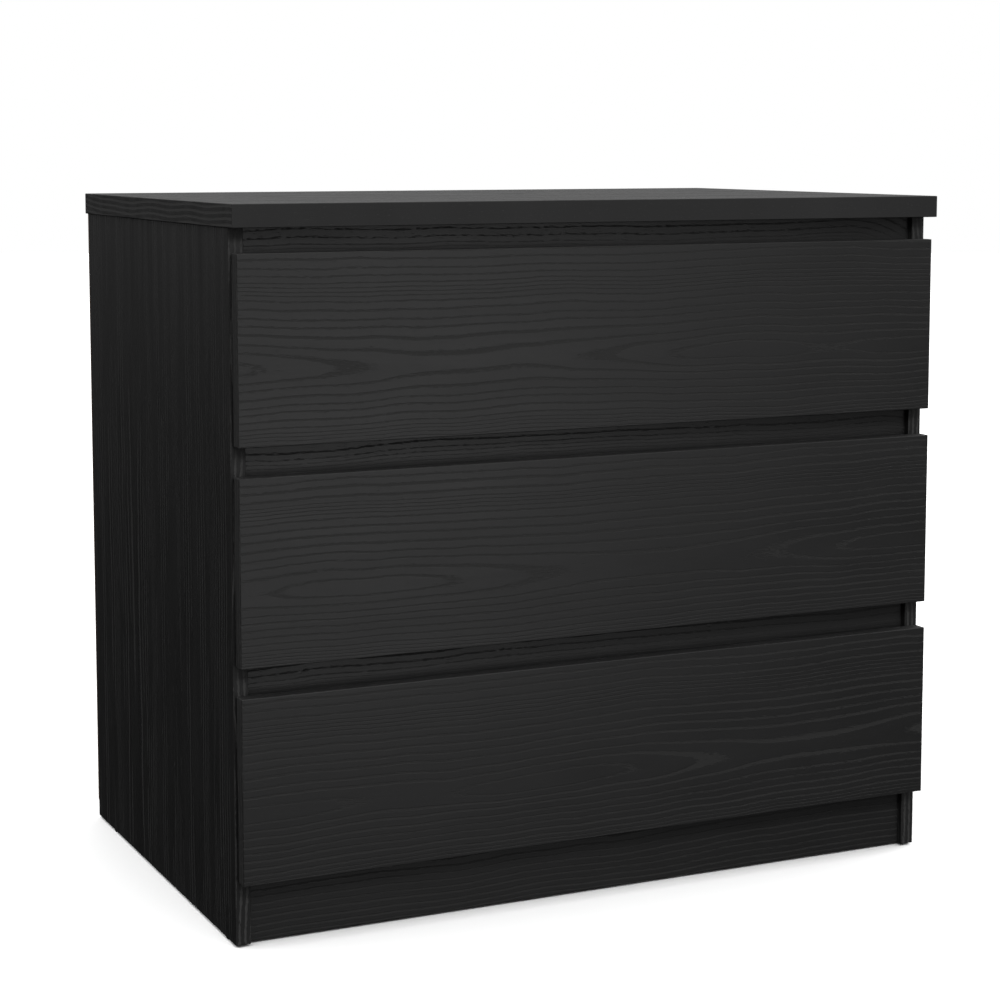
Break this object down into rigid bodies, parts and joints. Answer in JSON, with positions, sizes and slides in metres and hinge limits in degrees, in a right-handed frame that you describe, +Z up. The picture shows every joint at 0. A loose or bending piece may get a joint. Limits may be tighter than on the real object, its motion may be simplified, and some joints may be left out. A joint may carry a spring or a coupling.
{
  "type": "three-drawer chest",
  "caption": "Low rectangular chest with a thick overhanging top, overlay handle-less drawer fronts pulled by the gaps above them, recessed rails and kick board, and roller runners inside.",
  "frame": {"origin": "on the floor, under the middle of the top panel", "axes": "+X to the right seen from the front, +Y to the back, +Z up; the drawer fronts face -Y"},
  "size_m": [0.774, 0.5, 0.701],
  "materials": {
    "dark_wood_foil": "satin black-brown stained ash-grain foil, with fine open pores",
    "drawer_box_foil": "plain matt dark foil on particle board",
    "drawer_bottom_fibreboard": "dark lacquered smooth fibreboard",
    "back_fibreboard": "raw brown hard fibreboard, outside face",
    "runner_steel": "satin epoxy-coated sheet steel",
    "roller_nylon": "matt natural nylon",
    "glide_plastic": "matt black plastic",
    "dowel_beech": "raw beech, fluted",
    "fitting_zinc": "zinc-plated",
    "nail_steel": "bright wire nail"
  },
  "bodies": {
    "carcase": {"back_nails": "nail_steel", "back_panel": "back_fibreboard", "bottom_left_cabinet_runner": "runner_steel", "bottom_right_cabinet_runner": "runner_steel", "cabinet_runner_screws": "fitting_zinc", "cam_bolts": "fitting_zinc", "cam_locks": "fitting_zinc", "carcase_dowels": "dowel_beech", "floor_glides": "glide_plastic", "kick_board": "dark_wood_foil", "left_side_panel": "dark_wood_foil", "lower_front_rail": "dark_wood_foil", "middle_front_rail": "dark_wood_foil", "middle_left_cabinet_runner": "runner_steel", "middle_right_cabinet_runner": "runner_steel", "rear_rail": "dark_wood_foil", "right_side_panel": "dark_wood_foil", "top_front_rail": "dark_wood_foil", "top_left_cabinet_runner": "runner_steel", "top_panel": "dark_wood_foil", "top_right_cabinet_runner": "runner_steel"},
    "top_drawer": {"top_drawer_back": "drawer_box_foil", "top_drawer_bottom": "drawer_bottom_fibreboard", "top_drawer_cam_fittings": "fitting_zinc", "top_drawer_front": "dark_wood_foil", "top_drawer_left_runner": "runner_steel", "top_drawer_left_side": "drawer_box_foil", "top_drawer_right_runner": "runner_steel", "top_drawer_right_side": "drawer_box_foil", "top_drawer_screws": "fitting_zinc"},
    "middle_drawer": {"middle_drawer_back": "drawer_box_foil", "middle_drawer_bottom": "drawer_bottom_fibreboard", "middle_drawer_cam_fittings": "fitting_zinc", "middle_drawer_front": "dark_wood_foil", "middle_drawer_left_runner": "runner_steel", "middle_drawer_left_side": "drawer_box_foil", "middle_drawer_right_runner": "runner_steel", "middle_drawer_right_side": "drawer_box_foil", "middle_drawer_screws": "fitting_zinc"},
    "bottom_drawer": {"bottom_drawer_back": "drawer_box_foil", "bottom_drawer_bottom": "drawer_bottom_fibreboard", "bottom_drawer_cam_fittings": "fitting_zinc", "bottom_drawer_front": "dark_wood_foil", "bottom_drawer_left_runner": "runner_steel", "bottom_drawer_left_side": "drawer_box_foil", "bottom_drawer_right_runner": "runner_steel", "bottom_drawer_right_side": "drawer_box_foil", "bottom_drawer_screws": "fitting_zinc"},
    "bottom_drawer_left_roller": {"bottom_drawer_left_roller": "roller_nylon"},
    "bottom_drawer_right_roller": {"bottom_drawer_right_roller": "roller_nylon"},
    "bottom_left_cabinet_roller": {"bottom_left_cabinet_roller": "roller_nylon"},
    "bottom_right_cabinet_roller": {"bottom_right_cabinet_roller": "roller_nylon"},
    "middle_drawer_left_roller": {"middle_drawer_left_roller": "roller_nylon"},
    "middle_drawer_right_roller": {"middle_drawer_right_roller": "roller_nylon"},
    "middle_left_cabinet_roller": {"middle_left_cabinet_roller": "roller_nylon"},
    "middle_right_cabinet_roller": {"middle_right_cabinet_roller": "roller_nylon"},
    "top_drawer_left_roller": {"top_drawer_left_roller": "roller_nylon"},
    "top_drawer_right_roller": {"top_drawer_right_roller": "roller_nylon"},
    "top_left_cabinet_roller": {"top_left_cabinet_roller": "roller_nylon"},
    "top_right_cabinet_roller": {"top_right_cabinet_roller": "roller_nylon"}
  },
  "joints": [
    {"name": "top_drawer_slide", "type": "slide", "parent": "carcase", "child": "top_drawer", "axis": [0, -1, 0], "range_m": [0, 0.33]},
    {"name": "middle_drawer_slide", "type": "slide", "parent": "carcase", "child": "middle_drawer", "axis": [0, -1, 0], "range_m": [0, 0.33]},
    {"name": "bottom_drawer_slide", "type": "slide", "parent": "carcase", "child": "bottom_drawer", "axis": [0, -1, 0], "range_m": [0, 0.33]},
    {"name": "top_left_cabinet_roller_spin", "type": "hinge", "parent": "carcase", "child": "top_left_cabinet_roller", "pos_m": [-0.3633, -0.216, 0.4933], "axis": [1, 0, 0], "continuous": true},
    {"name": "top_drawer_left_roller_spin", "type": "hinge", "parent": "top_drawer", "child": "top_drawer_left_roller", "pos_m": [-0.3633, 0.2115, 0.4945], "axis": [1, 0, 0], "continuous": true},
    {"name": "top_right_cabinet_roller_spin", "type": "hinge", "parent": "carcase", "child": "top_right_cabinet_roller", "pos_m": [0.3633, -0.216, 0.4933], "axis": [1, 0, 0], "continuous": true},
    {"name": "top_drawer_right_roller_spin", "type": "hinge", "parent": "top_drawer", "child": "top_drawer_right_roller", "pos_m": [0.3633, 0.2115, 0.4945], "axis": [1, 0, 0], "continuous": true},
    {"name": "middle_left_cabinet_roller_spin", "type": "hinge", "parent": "carcase", "child": "middle_left_cabinet_roller", "pos_m": [-0.3633, -0.216, 0.2867], "axis": [1, 0, 0], "continuous": true},
    {"name": "middle_drawer_left_roller_spin", "type": "hinge", "parent": "middle_drawer", "child": "middle_drawer_left_roller", "pos_m": [-0.3633, 0.2115, 0.2879], "axis": [1, 0, 0], "continuous": true},
    {"name": "middle_right_cabinet_roller_spin", "type": "hinge", "parent": "carcase", "child": "middle_right_cabinet_roller", "pos_m": [0.3633, -0.216, 0.2867], "axis": [1, 0, 0], "continuous": true},
    {"name": "middle_drawer_right_roller_spin", "type": "hinge", "parent": "middle_drawer", "child": "middle_drawer_right_roller", "pos_m": [0.3633, 0.2115, 0.2879], "axis": [1, 0, 0], "continuous": true},
    {"name": "bottom_left_cabinet_roller_spin", "type": "hinge", "parent": "carcase", "child": "bottom_left_cabinet_roller", "pos_m": [-0.3633, -0.216, 0.0801], "axis": [1, 0, 0], "continuous": true},
    {"name": "bottom_drawer_left_roller_spin", "type": "hinge", "parent": "bottom_drawer", "child": "bottom_drawer_left_roller", "pos_m": [-0.3633, 0.2115, 0.0813], "axis": [1, 0, 0], "continuous": true},
    {"name": "bottom_right_cabinet_roller_spin", "type": "hinge", "parent": "carcase", "child": "bottom_right_cabinet_roller", "pos_m": [0.3633, -0.216, 0.0801], "axis": [1, 0, 0], "continuous": true},
    {"name": "bottom_drawer_right_roller_spin", "type": "hinge", "parent": "bottom_drawer", "child": "bottom_drawer_right_roller", "pos_m": [0.3633, 0.2115, 0.0813], "axis": [1, 0, 0], "continuous": true}
  ],
  "couplings": [
    {"joint": "top_left_cabinet_roller_spin", "follows": "top_drawer_slide", "rad_per_m": 113.64},
    {"joint": "top_drawer_left_roller_spin", "follows": "top_drawer_slide", "rad_per_m": 113.64},
    {"joint": "top_right_cabinet_roller_spin", "follows": "top_drawer_slide", "rad_per_m": 113.64},
    {"joint": "top_drawer_right_roller_spin", "follows": "top_drawer_slide", "rad_per_m": 113.64},
    {"joint": "middle_left_cabinet_roller_spin", "follows": "middle_drawer_slide", "rad_per_m": 113.64},
    {"joint": "middle_drawer_left_roller_spin", "follows": "middle_drawer_slide", "rad_per_m": 113.64},
    {"joint": "middle_right_cabinet_roller_spin", "follows": "middle_drawer_slide", "rad_per_m": 113.64},
    {"joint": "middle_drawer_right_roller_spin", "follows": "middle_drawer_slide", "rad_per_m": 113.64},
    {"joint": "bottom_left_cabinet_roller_spin", "follows": "bottom_drawer_slide", "rad_per_m": 113.64},
    {"joint": "bottom_drawer_left_roller_spin", "follows": "bottom_drawer_slide", "rad_per_m": 113.64},
    {"joint": "bottom_right_cabinet_roller_spin", "follows": "bottom_drawer_slide", "rad_per_m": 113.64},
    {"joint": "bottom_drawer_right_roller_spin", "follows": "bottom_drawer_slide", "rad_per_m": 113.64}
  ]
}
